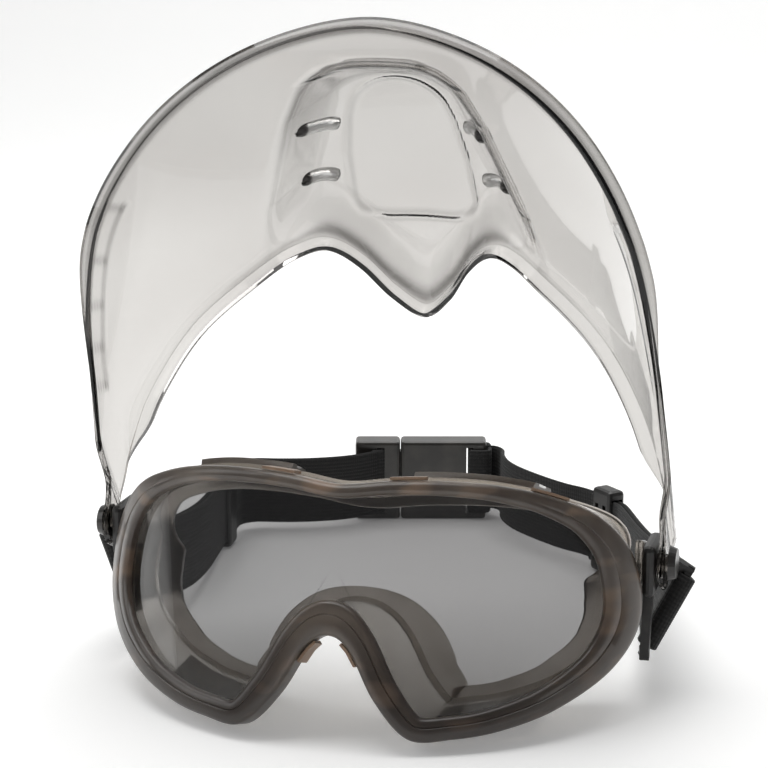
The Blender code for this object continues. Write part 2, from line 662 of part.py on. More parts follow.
def make_slider(side, route):
    """A three-bar slider that the doubled webbing passes through."""
    points, _, _, along = web_frames(route, np.array([0.0, 0.0, 1.0]))
    station = round(SLIDER_PLACE * WEB_STEPS)
    x, y, _ = points[station]
    yaw = math.degrees(math.atan2(-along[station, 1], -along[station, 0]))
    body = box_mesh((SLIDER_LENGTH, SLIDER_THICKNESS, SLIDER_HEIGHT))
    slider = object_from_bmesh(f"strap_slider_{side}", body, looks["black"], strap)
    bevel(slider, 1.5)
    center = (x, y, rest_height() + 0.7)
    place_along(slider, center, yaw)
    opening = 2 * WEB_THICKNESS + PLY_GAP + 1.1
    passage = cutter(f"slider_passage_{side}", box_mesh((SLIDER_LENGTH + 8, opening, WEB_WIDTH + 0.9),
                                                       (0, 0, -0.7)), strap)
    place_along(passage, center, yaw)
    boolean(slider, passage)
    for at in (-2.2, 2.2):
        window = cutter(f"slider_window_{side}_{at:+.0f}", box_mesh((2.0, 8.0, WEB_WIDTH - 4.0),
                                                                   (at, -4.0, -0.7)), strap)
        place_along(window, center, yaw)
        boolean(slider, window)


def buckle_object(name, mesh_data, look, bevel_width=0.0):
    obj = object_from_bmesh(name, mesh_data, look, strap)
    if bevel_width:
        bevel(obj, bevel_width)
    place_along(obj, (BUCKLE_X, BUCKLE_Y - DEPTH_SHIFT, BUCKLE_HEIGHT / 2), BUCKLE_YAW)
    return obj


def buckle_cutter(name, mesh_data):
    tool = cutter(name, mesh_data, strap)
    place_along(tool, (BUCKLE_X, BUCKLE_Y - DEPTH_SHIFT, BUCKLE_HEIGHT / 2), BUCKLE_YAW)
    return tool


def make_buckle():
    """A centre-release buckle: the socket takes the plug's tongue, and a button behind lets it go."""
    half = BUCKLE_LENGTH / 2
    split = -half + PLUG_LENGTH
    socket_length = BUCKLE_LENGTH - PLUG_LENGTH - GAP
    tongue_height = BUCKLE_HEIGHT - 9.0
    socket = buckle_object("buckle_socket", box_mesh((socket_length, BUCKLE_THICKNESS, BUCKLE_HEIGHT),
                                                     (half - socket_length / 2, 0, 0)), looks["buckle"], 1.2)
    mouth = split - 2.0
    pocket_end = split + TONGUE_LENGTH + GAP + 1.0
    boolean(socket, buckle_cutter("socket_pocket", box_mesh(
        (pocket_end - mouth, TONGUE_THICKNESS + 2 * TONGUE_CLEARANCE, tongue_height + 2 * TONGUE_CLEARANCE),
        ((mouth + pocket_end) / 2, 0, 0))))
    button_x = split + 12.0
    boolean(socket, buckle_cutter("socket_button_hole", box_mesh(
        (BUTTON_LENGTH + 2 * TONGUE_CLEARANCE, BUCKLE_THICKNESS, BUTTON_HEIGHT + 2 * TONGUE_CLEARANCE),
        (button_x, BUCKLE_THICKNESS / 2 + TONGUE_THICKNESS / 2 + 0.2, 0))))
    boolean(socket, buckle_cutter("socket_web_slot", box_mesh(
        (BUCKLE_SLOT, BUCKLE_THICKNESS + 4, WEB_WIDTH + 1.0), (half - 6.4, 0, 0))))
    plug = buckle_object("buckle_plug", box_mesh((PLUG_LENGTH, BUCKLE_THICKNESS, BUCKLE_HEIGHT),
                                                 (split - PLUG_LENGTH / 2, 0, 0)), looks["buckle"], 1.2)
    tongue = box_mesh((TONGUE_LENGTH + 2, TONGUE_THICKNESS, tongue_height),
                      (split + TONGUE_LENGTH / 2 - 1, 0, 0))
    boolean(plug, buckle_cutter("plug_tongue", tongue), "UNION")
    boolean(plug, buckle_cutter("plug_web_slot", box_mesh(
        (BUCKLE_SLOT + 0.4, BUCKLE_THICKNESS + 4, WEB_WIDTH + 1.0), (-half + PLUG_SLOT, 0, 0))))
    inner_face = TONGUE_THICKNESS / 2 + TONGUE_CLEARANCE + 0.1 + BUTTON_TRAVEL
    outer_face = BUCKLE_THICKNESS / 2 + BUTTON_PROUD
    button = box_mesh((BUTTON_LENGTH, outer_face - inner_face, BUTTON_HEIGHT),
                      (button_x, (inner_face + outer_face) / 2, 0))
    buckle_object("release_button", button, looks["black"], 0.6)


clear_scene()
parts = new_collection("safety_goggles")
cutters = new_collection("cutters", hidden=True)
looks = {
    "rim": new_material("smoke_frosted_rim", (0.20, 0.16, 0.14), 0.45),
    "lens": new_material("grey_lens", (0.28, 0.28, 0.28), 0.08),
    "body": new_material("smoke_soft_body", (0.30, 0.26, 0.24), 0.55),
    "seal": new_material("soft_face_seal", (0.16, 0.14, 0.13), 0.6),
    "cover": new_material("vent_cover", (0.12, 0.10, 0.09), 0.5),
    "clip": new_material("amber_clip", (0.55, 0.36, 0.24), 0.4),
    "bracket": new_material("clear_bracket", (0.55, 0.54, 0.52), 0.25),
    "metal": new_material("pivot_cap", (0.10, 0.10, 0.10), 0.35),
    "shield": new_material("clear_shield", (0.72, 0.71, 0.69), 0.1),
    "webbing": new_material("elastic_webbing", (0.02, 0.02, 0.02), 0.8),
    "black": new_material("black_nylon", (0.03, 0.03, 0.03), 0.45),
    "buckle": new_material("black_acetal", (0.035, 0.034, 0.033), 0.4),
}
outline = mirrored_outline()
normals = outline_normals(outline)
floor_drop = height_over_floor()
goggles = new_empty("goggles_pitch", None, (0, -DEPTH_SHIFT, floor_drop), -PITCH)
shield_hinge = new_empty("shield_hinge", goggles, (0, PIVOT_Y, PIVOT_Z), -SHIELD_RAISE)
strap = new_empty("strap_frame")

make_front_rim()
make_lens()
make_frame_body()
make_face_seal()
make_vent_covers()
for clip_name, clip_station in (("top_left", -4), ("top_centre", 4), ("top_right", 12),
                                ("nose_left", -42), ("nose_right", 42)):
    make_lens_clip(f"lens_clip_{clip_name}", clip_station)
make_side_brackets()
make_pivot_caps()
make_shield()
web_end_right = (BUCKLE_LENGTH / 2 + WEB_THICKNESS / 2 + 0.1, 0.2, 0.4)
web_end_left = (-BUCKLE_LENGTH / 2 + PLUG_SLOT - 1.4, -BUCKLE_THICKNESS / 2 - WEB_THICKNESS / 2 - 0.07, 0.0)
for hand, turn_sign, front, rear in (
        ("right", 1, STRAP_RIGHT_FRONT, ended_route(STRAP_RIGHT_REAR, *web_end_right)),
        ("left", -1, STRAP_LEFT_FRONT, ended_route(STRAP_LEFT_REAR, *web_end_left))):
    front = fitted_route(front, turn_sign)
    make_front_webbing(f"front_webbing_{hand}", front, turn_sign)
    make_rear_webbing(f"rear_webbing_{hand}", rear)
    make_strap_lug(hand, turn_sign, front)
    make_slider(hand, front)
make_buckle()
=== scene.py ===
import math

import bmesh
import bpy
import numpy as np
from mathutils import Matrix, Vector


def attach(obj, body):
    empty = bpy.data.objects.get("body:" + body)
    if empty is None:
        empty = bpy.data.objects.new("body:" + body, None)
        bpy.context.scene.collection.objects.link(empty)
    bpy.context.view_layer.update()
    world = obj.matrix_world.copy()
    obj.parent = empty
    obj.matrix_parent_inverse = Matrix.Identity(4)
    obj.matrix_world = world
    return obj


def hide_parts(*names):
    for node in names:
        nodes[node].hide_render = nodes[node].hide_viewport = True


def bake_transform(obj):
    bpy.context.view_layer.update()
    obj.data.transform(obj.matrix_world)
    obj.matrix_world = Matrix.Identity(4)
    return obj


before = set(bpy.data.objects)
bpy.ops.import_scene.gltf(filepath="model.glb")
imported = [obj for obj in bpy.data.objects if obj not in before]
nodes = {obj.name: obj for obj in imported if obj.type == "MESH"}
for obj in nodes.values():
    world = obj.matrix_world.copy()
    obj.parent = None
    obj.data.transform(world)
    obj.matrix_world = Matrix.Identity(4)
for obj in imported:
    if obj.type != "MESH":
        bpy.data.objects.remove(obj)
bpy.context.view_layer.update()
print("frame loaded:", len(nodes), "nodes")

# Sizes that several pieces share, in mm and degrees, as the frame was built.
fit = {
    "pitch": 17.8, "drop": 44.85, "shift": 116.54,  # how the goggles lean back, and where their origin is
    "width": 170.0, "height": 75.0, "rimRadius": 99.5, "gap": 0.3,
    "pivotY": 56.28, "pivotZ": 16.0, "raise": 127.7, "wrapLean": 0.6, "sealDepth": 38.0, "sealBow": 24.0,
}

# Half outline of the rim from the top centre to the nose: shares of half the width and of the height, and
# the band's width there in mm.
rimOutline = (
    (0.000, 0.419, 4.2), (0.175, 0.443, 4.1), (0.360, 0.459, 4.4), (0.536, 0.459, 4.9),
    (0.704, 0.435, 6.0), (0.860, 0.372, 8.2), (0.968, 0.225, 9.6), (1.000, -0.013, 9.6),
    (0.927, -0.221, 8.6), (0.771, -0.387, 7.7), (0.602, -0.483, 7.2), (0.447, -0.529, 6.9),
    (0.301, -0.541, 7.4), (0.176, -0.405, 8.2), (0.078, -0.222, 8.6), (0.000, -0.170, 10.4),
)


def smoothCurve(points, steps, closed=False):
    # Catmull-Rom: each span is the cubic through its two points whose slopes are half of the chords
    # beside it.
    points = np.asarray(points, float)
    if closed:
        padded = np.vstack([points[-1], points, points[:2]])
    else:
        padded = np.vstack([2 * points[0] - points[1], points, 2 * points[-1] - points[-2]])
    a, b, c, d = (padded[k:len(padded) - 3 + k, None] for k in range(4))
    t = (np.arange(steps) / steps)[None, :, None]
    curve = 0.5 * (2 * b + (c - a) * t + (2 * a - 5 * b + 4 * c - d) * t**2
                   + (3 * b - a - 3 * c + d) * t**3)
    curve = curve.reshape(-1, points.shape[1])
    return curve if closed else np.vstack([curve, points[-1]])


def smoothStep(value):
    value = np.clip(value, 0.0, 1.0)
    return value * value * (3 - 2 * value)


def turnX(points, degrees):
    c, s = math.cos(math.radians(degrees)), math.sin(math.radians(degrees))
    x, y, z = points[..., 0], points[..., 1], points[..., 2]
    return np.stack([x, y * c - z * s, y * s + z * c], axis=-1)


def gogglesToRoom(points):
    # The goggles' own frame tipped back on to the floor.
    return turnX(np.asarray(points, float), -fit["pitch"]) + np.array([0.0, -fit["shift"], fit["drop"]])


def shieldToRoom(points):
    # The lowered shield's frame, about its pivot, swung up and carried along with the goggles.
    swung = turnX(np.asarray(points, float), -fit["raise"]) + np.array([0.0, fit["pivotY"], fit["pivotZ"]])
    return gogglesToRoom(swung)


def meshPiece(name, verts, faces, material, body, triangles=None, node=None, slot=None, uv=None,
              sharp=40.0):
    mesh = bpy.data.meshes.new(name)
    polygons = faces.tolist() + (triangles.tolist() if triangles is not None else [])
    mesh.from_pydata((np.asarray(verts) * 0.001).tolist(), [], polygons)
    if uv is not None:
        layer = mesh.uv_layers.new(name="UVMap")
        corners = np.empty(len(mesh.loops), int)
        mesh.loops.foreach_get("vertex_index", corners)
        layer.data.foreach_set("uv", np.asarray(uv, float)[corners].ravel())
    mesh.shade_smooth()
    mesh.set_sharp_from_angle(angle=math.radians(sharp))
    mesh.materials.append(material)
    obj = bpy.data.objects.new(name, mesh)
    bpy.context.scene.collection.objects.link(obj)
    if body:
        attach(obj, body)
    if node:
        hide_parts(*([node] if isinstance(node, str) else node))
    return obj


def gridFaces(rows, columns, closedRows=False, closedColumns=False):
    # Quads between neighbouring rows and columns of a grid of points numbered row by row.
    i = np.arange(rows if closedRows else rows - 1)[:, None]
    j = np.arange(columns if closedColumns else columns - 1)[None, :]
    i2, j2 = (i + 1) % rows, (j + 1) % columns
    corners = (i * columns + j, i2 * columns + j, i2 * columns + j2, i * columns + j2)
    return np.stack(np.broadcast_arrays(*corners), -1).reshape(-1, 4)


def signedVolume(verts, faces):
    a, b, c, d = (verts[faces[:, k]] for k in range(4))
    return float(np.sum(np.cross(a, b) * c) + np.sum(np.cross(a, c) * d)) / 6


def outward(verts, faces):
    return faces if signedVolume(verts, faces) > 0 else faces[:, ::-1]


def tube(name, rings, material, body, closed=False, **facts):
    # A profile carried along a path: rings is stations by profile points, and the ends are capped.
    rings = np.asarray(rings, float)
    count, sides = rings.shape[:2]
    verts = rings.reshape(-1, 3)
    along = np.concatenate([[0], np.cumsum(np.linalg.norm(np.diff(rings.mean(axis=1), axis=0), axis=1))])
    around = np.concatenate([[0], np.cumsum(np.linalg.norm(np.diff(rings.mean(axis=0), axis=0), axis=1))])
    uv = np.stack(np.meshgrid(along, around, indexing="ij"), axis=-1).reshape(-1, 2)
    faces = gridFaces(count, sides, closed, True)
    if not closed:
        caps = []
        for row, flip in ((0, False), (count - 1, True)):
            k = np.arange(1, (sides + 1) // 2)
            base = row * sides
            cap = np.stack([base + k - 1, base + k, base + sides - 1 - k, base + sides - k], axis=-1)
            cap = cap[k < sides - 1 - k] if sides > 3 else cap
            caps.append(cap[:, ::-1] if flip else cap)
        faces = np.vstack([faces] + caps)
    return meshPiece(name, verts, outward(verts, faces), material, body, uv=uv, **facts)


def hexColor(code):
    # sRGB to linear: a straight line near black, and a power of 2.4 above it.
    value = np.array([int(code[k:k + 2], 16) for k in (1, 3, 5)]) / 255
    linear = np.where(value <= 0.04045, value / 12.92, ((value + 0.055) / 1.055)**2.4)
    return (*linear.tolist(), 1.0)


def addNode(tree, kind, settings=None, links=None):
    node = tree.nodes.new(kind)
    for key, value in (settings or {}).items():
        if isinstance(key, int) or key in node.inputs:
            node.inputs[key].default_value = value
        else:
            setattr(node, key, value)
    for key, source in (links or {}).items():
        tree.links.new(source, node.inputs[key])
    return node


def newMaterial(name, color, **sockets):
    material = bpy.data.materials.new(name)
    material.use_nodes = True
    tree = material.node_tree
    shader = tree.nodes["Principled BSDF"]
    shader.inputs["Base Color"].default_value = hexColor(color)
    for key, value in sockets.items():
        shader.inputs[key].default_value = value
    return material, tree, shader


def objectNoise(tree, grainMm, detail=2.0, stretch=(1, 1, 1)):
    # Noise whose blobs are about grainMm across on the piece.
    place = addNode(tree, "ShaderNodeTexCoord")
    turn = addNode(tree, "ShaderNodeMapping", {"Scale": stretch}, {"Vector": place.outputs["Object"]})
    return addNode(tree, "ShaderNodeTexNoise", {"Scale": 1000.0 / grainMm, "Detail": detail},
                   {"Vector": turn.outputs["Vector"]})


def mixColors(tree, share, first, second):
    mix = addNode(tree, "ShaderNodeMix", {"data_type": "RGBA"})
    for socket, value in ((mix.inputs[0], share), (mix.inputs[6], first), (mix.inputs[7], second)):
        if isinstance(value, bpy.types.NodeSocket):
            tree.links.new(value, socket)
        else:
            socket.default_value = value
    return mix.outputs[2]


def remap(tree, value, low, high, toLow=0.0, toHigh=1.0):
    node = addNode(tree, "ShaderNodeMapRange", {"From Min": low, "From Max": high, "To Min": toLow,
                                                "To Max": toHigh}, {"Value": value})
    return node.outputs["Result"]


def addBump(tree, shader, height, depthMm, strength=1.0):
    bump = addNode(tree, "ShaderNodeBump", {"Strength": strength, "Distance": depthMm * 0.001},
                   {"Height": height})
    tree.links.new(bump.outputs["Normal"], shader.inputs["Normal"])


def mottle(tree, grainMm, first, second, detail=2.0, low=0.3, high=0.7):
    # Two shades that drift into each other in blobs about grainMm across.
    noise = objectNoise(tree, grainMm, detail)
    share = remap(tree, noise.outputs["Fac"], low, high)
    return mixColors(tree, share, hexColor(first), hexColor(second))


def paint(tree, shader, color):
    tree.links.new(color, shader.inputs["Base Color"])


def addGrain(tree, shader, grainMm, depthMm, strength):
    # A mould's fine texture, as relief. Real grain is near 0.05 mm, and is drawn coarser so that it shows.
    addBump(tree, shader, objectNoise(tree, grainMm, 1.0).outputs["Fac"], depthMm, strength)


# Clear polycarbonate tinted a light grey, injection moulded and polished: clean gloss. Painted shade
# darkens its edges, bends, the bump's slopes and moulded lines, where light running along inside the sheet
# leaves them dark.
shieldSheet, tree, shader = newMaterial("clearPolycarbonateShield", "#dfdeda", **{
    "Roughness": 0.03, "IOR": 1.45, "Transmission Weight": 1.0})
# The point attribute read here is painted shade: it mixes the colour towards a dark brown-grey.
edge = addNode(tree, "ShaderNodeAttribute", {"attribute_name": "paintedEdgeShade"})
tinted = mottle(tree, 60.0, "#d4d2cf", "#c8c5c2", 1.0)
paint(tree, shader, mixColors(tree, edge.outputs["Fac"], tinted, hexColor("#3c3835")))

# The same sheet rolled into hoods: a pale, milky colour is painted as the highlight the curl gathers, and
# painted shade darkens its ends.
hoodSheet, tree, shader = newMaterial("rolledPolycarbonateHood", "#f0f0ee", **{
    "Roughness": 0.12, "IOR": 1.3, "Transmission Weight": 0.7})
# Painted highlight: the pale colours stand in for light gathered in the curl. The point attribute read here
# is painted shade.
edge = addNode(tree, "ShaderNodeAttribute", {"attribute_name": "paintedEdgeShade"})
tinted = mottle(tree, 9.0, "#f6f6f5", "#e3e2e0", 1.0)
paint(tree, shader, mixColors(tree, edge.outputs["Fac"], tinted, hexColor("#2e2a28")))

# Smoke grey polycarbonate lens with a hard coat: a mirror gloss over a neutral grey.
lensSheet, tree, shader = newMaterial("smokePolycarbonateLens", "#8f8f8f", **{
    "Roughness": 0.02, "IOR": 1.45, "Transmission Weight": 1.0})
paint(tree, shader, mottle(tree, 90.0, "#9b9b9b", "#949393", 1.0))

# Smoke brown nylon with a fine etched surface: it lets a soft light through and shines only dully. Warm
# patches lie over it, and painted shade darkens it towards the floor, where less light comes through it.
rimNylon, tree, shader = newMaterial("etchedSmokeNylonRim", "#8d8177", **{
    "Roughness": 0.3, "IOR": 1.45, "Transmission Weight": 0.6, "Coat Weight": 0.2, "Coat Roughness": 0.26})
smoke = mottle(tree, 22.0, "#8b8076", "#665b53", 3.0, 0.35, 0.65)
patch = objectNoise(tree, 17.0, 1.5, (1, 1, 2.2))
warm = remap(tree, patch.outputs["Fac"], 0.56, 0.72, 0, 0.75)
patched = mixColors(tree, warm, smoke, hexColor("#c2a48c"))
# Painted shade: lower on the rim the colour is mixed towards a dark brown, most near the floor.
place = addNode(tree, "ShaderNodeTexCoord")
split = addNode(tree, "ShaderNodeSeparateXYZ", links={"Vector": place.outputs["Object"]})
low = remap(tree, split.outputs["Z"], 0.002, 0.066, 0.85, 0.0)
paint(tree, shader, mixColors(tree, low, patched, hexColor("#3d3530")))
addGrain(tree, shader, 0.5, 0.03, 0.5)

# Soft smoke elastomer: milky where it is thick, dull all over.
bodyElastomer, tree, shader = newMaterial("smokeElastomerBody", "#e0dbd4", **{
    "Roughness": 0.22, "IOR": 1.18, "Transmission Weight": 0.92})
paint(tree, shader, mottle(tree, 20.0, "#e9e5df", "#dad4cc"))
addGrain(tree, shader, 0.6, 0.03, 0.5)

# The same elastomer in the darker flange that lies on the face.
sealElastomer, tree, shader = newMaterial("smokeElastomerSeal", "#c2bab2", **{
    "Roughness": 0.28, "IOR": 1.25, "Transmission Weight": 0.85})
paint(tree, shader, mottle(tree, 12.0, "#cbc4bc", "#b4aca4"))
addGrain(tree, shader, 0.6, 0.04, 0.6)

# Dark smoke vent covers, moulded with a fine texture.
coverNylon, tree, shader = newMaterial("smokeNylonCover", "#7a7068", **{
    "Roughness": 0.32, "IOR": 1.4, "Transmission Weight": 0.55})
paint(tree, shader, mottle(tree, 8.0, "#837970", "#6e645c"))
addGrain(tree, shader, 0.5, 0.03, 0.6)

# Thin tabs of the body's elastomer, which glow amber because they are thin.
clipElastomer, tree, shader = newMaterial("amberElastomerTab", "#b89a80", **{
    "Roughness": 0.4, "IOR": 1.48, "Transmission Weight": 0.5})
paint(tree, shader, mottle(tree, 4.0, "#c0a48c", "#a88a72", low=0.0, high=1.0))

# Clear moulded brackets.
bracketNylon, tree, shader = newMaterial("clearNylonBracket", "#b9b2aa", **{
    "Roughness": 0.18, "IOR": 1.5, "Transmission Weight": 0.8})
paint(tree, shader, mottle(tree, 6.0, "#c4beb6", "#aaa299", low=0.0, high=1.0))

# Dark caps with a turned, satin face.
capNylon, tree, shader = newMaterial("satinNylonCap", "#2b2827", **{"Roughness": 0.28, "IOR": 1.5})
paint(tree, shader, mottle(tree, 3.0, "#302d2b", "#232120", low=0.0, high=1.0))
addGrain(tree, shader, 0.35, 0.02, 0.5)

# Black nylon with a spark-eroded mould texture, worn a little lighter in patches.
blackNylon, tree, shader = newMaterial("texturedBlackNylon", "#191817", **{"Roughness": 0.42, "IOR": 1.53})
paint(tree, shader, mottle(tree, 5.0, "#151413", "#272422", 4.0, 0.45, 0.75))
addGrain(tree, shader, 0.4, 0.04, 0.6)

# Black acetal, moulded smooth: a little glossier than the nylon, and waxy.
blackAcetal, tree, shader = newMaterial("mouldedBlackAcetal", "#2c2926", **{"Roughness": 0.3, "IOR": 1.5})
paint(tree, shader, mottle(tree, 7.0, "#252320", "#37332f", 4.0, 0.4, 0.75))
addGrain(tree, shader, 0.5, 0.03, 0.5)

# Black woven elastic: ribs run along it about every 1.3 mm, crossed by picks about 0.9 mm apart.
webElastic, tree, shader = newMaterial("wovenBlackElastic", "#121212", **{
    "Roughness": 0.82, "IOR": 1.5, "Sheen Weight": 0.1, "Sheen Roughness": 0.4})
weave = {"ribMm": 1.3, "pickMm": 0.9, "fuzzMm": 0.7, "pickShare": 0.45, "fuzzShare": 0.8}
cloth = addNode(tree, "ShaderNodeUVMap")
split = addNode(tree, "ShaderNodeSeparateXYZ", links={"Vector": cloth.outputs["UV"]})
waves = []
for axis, spacing in (("Y", weave["ribMm"]), ("X", weave["pickMm"])):
    phase = addNode(tree, "ShaderNodeMath", {"operation": "MULTIPLY", 1: 2 * math.pi / spacing},
                    {0: split.outputs[axis]})
    waves.append(addNode(tree, "ShaderNodeMath", {"operation": "SINE"}, {0: phase.outputs[0]}))
ribs, picks = waves
knit = addNode(tree, "ShaderNodeMath", {"operation": "MULTIPLY_ADD", 1: weave["pickShare"]},
               {0: picks.outputs[0], 2: ribs.outputs[0]})
fuzz = objectNoise(tree, weave["fuzzMm"], 3.0)
raised = addNode(tree, "ShaderNodeMath", {"operation": "MULTIPLY_ADD", 1: weave["fuzzShare"]},
                 {0: fuzz.outputs["Fac"], 2: knit.outputs[0]})
# Painted shade: the colour is darker in the weave's hollows and lighter on its raised ribs, picks and fuzz.
paintedWeaveShade = remap(tree, raised.outputs[0], -1.2, 1.8)
paint(tree, shader, mixColors(tree, paintedWeaveShade, hexColor("#060606"), hexColor("#181716")))
addBump(tree, shader, raised.outputs[0], 0.12, 0.8)

finishes = {
    "front_rim": rimNylon, "lens": lensSheet, "frame_body": bodyElastomer, "face_seal": sealElastomer,
    "face_shield": shieldSheet, "buckle_socket": blackAcetal, "buckle_plug": blackAcetal,
    "release_button": blackNylon,
}
for name, obj in nodes.items():
    if "vent_cover" in name:
        finish = coverNylon
    elif "lens_clip" in name:
        finish = clipElastomer
    elif "side_bracket" in name:
        finish = bracketNylon
    elif "pivot_cap" in name:
        finish = capNylon
    elif "webbing" in name:
        finish = webElastic
    else:
        finish = finishes.get(name, blackNylon)
    obj.data.materials.clear()
    obj.data.materials.append(finish)
print("materials made")


# The rim's outline as a closed curve, with the way inwards to outwards across it at each point.
outlineSteps = 12
half = np.array([(x * fit["width"] / 2, z * fit["height"], band) for x, z, band in rimOutline])
outline = smoothCurve(np.vstack([half, half[1:-1][::-1] * np.array([-1, 1, 1])]), outlineSteps, closed=True)
along = np.roll(outline[:, :2], -1, axis=0) - np.roll(outline[:, :2], 1, axis=0)
along /= np.linalg.norm(along, axis=1)[:, None]
normals = np.stack([-along[:, 1], along[:, 0]], axis=-1)
band = outline[:, 2]
topShare = smoothStep((normals[:, 1] - 0.25) / 0.6)
cornerX = 0.44 * fit["width"]


def rimPoints(inset, depth):
    # A place inset from the outline and a depth behind the rim's front, which is bent to a circle in plan:
    # the front at x lies behind the middle by the radius less the root of radius squared less x squared.
    flat = outline[:, :2] - normals * np.reshape(inset, (-1, 1))
    x = np.clip(flat[:, 0], -0.97 * fit["rimRadius"], 0.97 * fit["rimRadius"])
    lean = fit["wrapLean"] * np.arcsin(x / fit["rimRadius"])
    front = fit["rimRadius"] - np.sqrt(fit["rimRadius"]**2 - x**2)
    return np.stack([x - depth * np.sin(lean), front + depth * np.cos(lean), flat[:, 1]], axis=-1)


def facePoints(inset, behind):
    # The same, measured from the face seal: its depth grows with the square of x.
    flat = outline[:, :2] - normals * np.reshape(inset, (-1, 1))
    back = fit["sealDepth"] + fit["sealBow"] * (flat[:, 0] / cornerX)**2
    return np.stack([flat[:, 0], back + behind, flat[:, 1]], axis=-1)


rim = {"band": 3.0, "skirt": 9.0, "skirtWall": 1.8, "grooveDepth": 0.3}
zero = 0 * band
groove = rim["grooveDepth"] * smoothStep((band - 5) / 2)
rimProfile = (
    (zero, 8.6), (zero, 2.4), (zero + 0.2, 1.4), (zero + 0.65, 0.65), (zero + 1.3, 0.2),
    (0.36 * band + 0.3, 0.0), (0.60 * band - 0.3, 0.0), (0.60 * band, groove),
    (0.60 * band + 0.3, 0.02), (band - 1.4, 0.08),
    (band - 0.7, 0.45), (band - 0.2, 1.05), (band, 1.9), (band, rim["band"]),
    (zero + rim["skirtWall"], rim["band"]), (zero + rim["skirtWall"], 8.6), (zero + 1.4, rim["skirt"]),
    (zero + 0.4, rim["skirt"]),
)
rings = np.stack([rimPoints(inset, depth + zero) for inset, depth in rimProfile], axis=1)
tube("frostedRim", gogglesToRoom(rings), rimNylon, "goggles", closed=True, node="front_rim",
     slot="smoke_frosted_rim")

lens = {"front": 3.3, "thickness": 1.8, "tuck": 2.3, "middleZ": 8.0, "rings": 36}
lensEdge = outline[:, :2] - normals * (band - lens["tuck"])[:, None]
share = np.linspace(1, 0, lens["rings"] + 1)[:-1, None, None]
flat = np.array([0, lens["middleZ"]]) + share * (lensEdge - np.array([0, lens["middleZ"]]))
sheets = []
radii = (fit["rimRadius"] - lens["front"], fit["rimRadius"] - lens["front"] - lens["thickness"])
for radius in radii:
    depth = fit["rimRadius"] - np.sqrt(radius**2 - flat[..., 0]**2)
    sheets.append(np.stack([flat[..., 0], depth, flat[..., 1]], axis=-1))
rows, count = flat.shape[:2]
frontFaces = gridFaces(rows, count, closedColumns=True)
size = rows * count
poles = [[0, fit["rimRadius"] - radius, lens["middleZ"]] for radius in radii]
lensVerts = np.vstack([sheets[0].reshape(-1, 3), sheets[1].reshape(-1, 3), poles])
k = np.arange(count)
after = (k + 1) % count
last = (rows - 1) * count
wall = np.stack([after, k, k + size, after + size], axis=-1)
fans = np.vstack([np.stack([0 * k + 2 * size, last + after, last + k], axis=-1),
                  np.stack([0 * k + 2 * size + 1, size + last + k, size + last + after], axis=-1)])
lensFaces = np.vstack([frontFaces, frontFaces[:, ::-1] + size, wall])
lensPiece = meshPiece("smokeLens", gogglesToRoom(lensVerts), lensFaces, lensSheet, "goggles",
                      triangles=fans, node="lens", slot="grey_lens")
sculpt = bmesh.new()
sculpt.from_mesh(lensPiece.data)
bmesh.ops.recalc_face_normals(sculpt, faces=sculpt.faces)
sculpt.to_mesh(lensPiece.data)
sculpt.free()

body = {"wall": 2.0, "taper": 9.5, "sealThickness": 2.6, "overhang": 0.95}
gap = fit["gap"]
shoulder = rim["skirtWall"] + gap + (-1.3 - rim["skirtWall"] - gap) * topShare
face = body["taper"] + (0.6 - body["taper"]) * topShare
tucked = zero + rim["skirtWall"] + gap
start = rim["band"] + gap + lens["thickness"] + 0.9
outer = [rimPoints(shoulder, rim["skirt"] + 2.4) * (1 - t) + facePoints(face, 0.0) * t
         for t in np.linspace(0, 1, 9)]
inner = [rimPoints(shoulder + body["wall"], rim["skirt"] + 2.4) * (1 - t)
         + facePoints(face + body["wall"], 0.0) * t for t in np.linspace(1, 0, 9)]
section = [rimPoints(tucked, start), rimPoints(tucked, rim["skirt"] + gap)] + outer + inner + [
    rimPoints(tucked + 0.9 * body["wall"], start)]
tube("softBody", gogglesToRoom(np.stack(section, axis=1)), bodyElastomer, "goggles", closed=True,
     node="frame_body", slot="smoke_soft_body")

reach = body["wall"] + 3.0 + 6.0 * np.abs(normals[:, 0])**2
thick = body["sealThickness"]
section = (
    facePoints(face - body["overhang"] + 0.3, gap), facePoints(face - body["overhang"], gap + 0.5),
    facePoints(face - body["overhang"], gap + thick - 0.7),
    facePoints(face - body["overhang"] + 0.6, gap + thick),
    facePoints(face + 0.5 * reach, gap + thick + 0.4), facePoints(face + reach - 0.5, gap + thick + 1.2),
    facePoints(face + reach, gap + thick + 0.8), facePoints(face + reach, gap + 1.6),
    facePoints(face + reach - 0.5, gap + 1.2), facePoints(face + body["wall"], gap),
)
tube("softFaceSeal", gogglesToRoom(np.stack(section, axis=1)), sealElastomer, "goggles", closed=True,
     node="face_seal", slot="soft_face_seal")


def bodySurface(share, lift, stations):
    near = rimPoints(shoulder - lift, rim["skirt"] + 2.4)
    far = facePoints(face - lift, 0.0)
    return (near + (far - near) * share)[stations]


